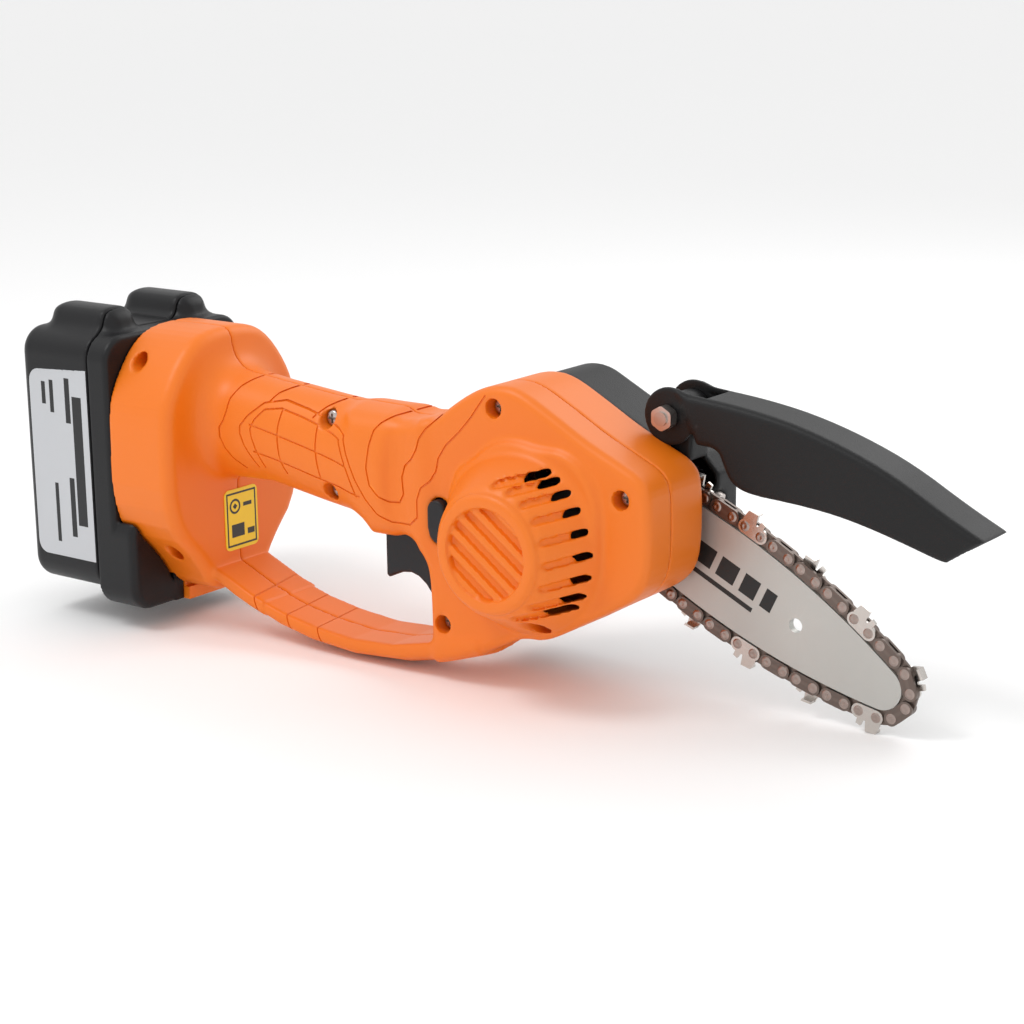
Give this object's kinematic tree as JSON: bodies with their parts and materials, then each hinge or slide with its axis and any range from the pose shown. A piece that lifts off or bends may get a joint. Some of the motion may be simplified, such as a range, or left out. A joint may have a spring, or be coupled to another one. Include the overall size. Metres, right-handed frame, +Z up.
{
  "type": "cordless pruning chainsaw",
  "caption": "One-handed cordless pruning saw: clamshell body with hand loop, rear battery, motor and gear drive, short guide bar with chain and hinged guard.",
  "frame": {"origin": "middle of the saw's box, at the height of its lowest point", "axes": "+X forward along the bar side, +Z up, -Y towards the motor cap on the user's right"},
  "size_m": [0.3908, 0.091, 0.1264],
  "materials": {
    "orange_plastic": "satin moulded ABS",
    "black_plastic": "fine textured",
    "battery_plastic": "fine textured",
    "button_plastic": "satin",
    "dock_plastic": "glass filled nylon",
    "bar_steel": "satin ground",
    "chain_steel": "dark oiled",
    "cutter_chrome": "hard chrome plated",
    "rivet_steel": "bright",
    "zinc_steel": "zinc plated",
    "gear_steel": "sintered",
    "motor_steel": "black oxide",
    "magnet_ferrite": "ferrite",
    "copper_brass": "copper",
    "plate_aluminium": "die cast",
    "cell_metal": "shrink sleeved",
    "bush_bronze": "sintered bronze",
    "spring_steel": "drawn wire",
    "board_plastic": "lacquered",
    "label_foil": "silver foil",
    "sticker_vinyl": "yellow vinyl",
    "wire_red_black": "insulation"
  },
  "bodies": {
    "saw_body": {"housing_right": "orange_plastic", "housing_left": "orange_plastic", "shell_screws": "zinc_steel", "motor_can": "motor_steel", "motor_magnets": "magnet_ferrite", "motor_end_bell": "dock_plastic", "motor_brushes": "copper_brass", "gear_plate": "plate_aluminium", "spindle_bush": "bush_bronze", "plate_screws": "zinc_steel", "motor_screws": "zinc_steel", "bearing_outer_ring": "gear_steel", "bearing_balls": "gear_steel", "chain_drive_links": "chain_steel", "chain_tie_straps": "chain_steel", "chain_left_cutters": "cutter_chrome", "chain_right_cutters": "cutter_chrome", "chain_rivets": "rivet_steel", "bar_studs": "zinc_steel", "cover_nuts": "zinc_steel", "sprocket_cover": "black_plastic", "guard_bolt": "zinc_steel", "guard_nut": "zinc_steel", "trigger_spring": "spring_steel", "switch_body": "button_plastic", "lock_spring": "spring_steel", "battery_dock": "dock_plastic", "dock_blades": "copper_brass", "foot_sticker": "sticker_vinyl", "supply_leads": "wire_red_black", "motor_leads": "wire_red_black"},
    "rotor": {"armature": "gear_steel", "commutator": "copper_brass", "motor_shaft": "gear_steel", "cooling_fan": "dock_plastic", "pinion": "gear_steel"},
    "spindle_group": {"drive_gear": "gear_steel", "spindle": "gear_steel", "retaining_ring": "gear_steel", "bearing_inner_ring": "gear_steel", "spindle_spacer": "gear_steel", "chain_sprocket": "gear_steel"},
    "bar_group": {"bar_side_plates": "bar_steel", "bar_core": "bar_steel", "tensioner_block": "gear_steel"},
    "tension_screw": {"tensioner_screw": "zinc_steel"},
    "guard_group": {"guard": "black_plastic"},
    "trigger_group": {"trigger": "button_plastic"},
    "lock_group": {"lock_button": "button_plastic"},
    "battery": {"battery_rear_shell": "battery_plastic", "battery_front_shell": "battery_plastic", "battery_cells": "cell_metal", "cell_frames": "dock_plastic", "cell_straps": "copper_brass", "battery_board": "board_plastic", "battery_label": "label_foil", "release_spring": "spring_steel"},
    "release_group": {"release_button": "orange_plastic"}
  },
  "joints": [
    {"name": "rotor_spin", "type": "hinge", "parent": "saw_body", "child": "rotor", "pos_m": [0.03566, -0.0205, 0.0593], "axis": [0, 1, 0], "continuous": true},
    {"name": "spindle_spin", "type": "hinge", "parent": "saw_body", "child": "spindle_group", "pos_m": [0.02965, 0.0095, 0.07838], "axis": [0, 1, 0], "continuous": true, "deforming": ["chain_drive_links"]},
    {"name": "trigger_pull", "type": "slide", "parent": "saw_body", "child": "trigger_group", "axis": [0, 0, 1], "range_m": [0, 0.005], "stiffness_N_per_m": 900, "springref_m": -0.003, "deforming": ["trigger_spring"]},
    {"name": "lock_press", "type": "slide", "parent": "saw_body", "child": "lock_group", "axis": [0, 1, 0], "range_m": [0, 0.0035], "stiffness_N_per_m": 600, "springref_m": -0.002, "deforming": ["lock_spring"]},
    {"name": "guard_swing", "type": "hinge", "parent": "saw_body", "child": "guard_group", "pos_m": [0.07465, 0.0195, 0.10288], "axis": [0, -1, 0], "range_deg": [-24, 20]},
    {"name": "battery_slide", "type": "slide", "parent": "saw_body", "child": "battery", "axis": [0, 0, -1], "range_m": [0, 0.09]},
    {"name": "release_press", "type": "slide", "parent": "battery", "child": "release_group", "axis": [-1, 0, 0], "range_m": [0, 0.003], "stiffness_N_per_m": 800, "springref_m": -0.002, "deforming": ["release_spring"]},
    {"name": "bar_tension", "type": "slide", "parent": "saw_body", "child": "bar_group", "axis": [0.8988, 0, -0.4384], "range_m": [-0.003, 0]},
    {"name": "tension_turn", "type": "hinge", "parent": "saw_body", "child": "tension_screw", "pos_m": [0.05508, 0.0275, 0.08489], "axis": [0.8988, 0, -0.4384], "range_deg": [-1560, 10]}
  ],
  "couplings": [
    {"joint": "spindle_spin", "follows": "rotor_spin", "ratio": -0.33333},
    {"joint": "tension_turn", "follows": "bar_tension", "rad_per_m": 8976}
  ]
}
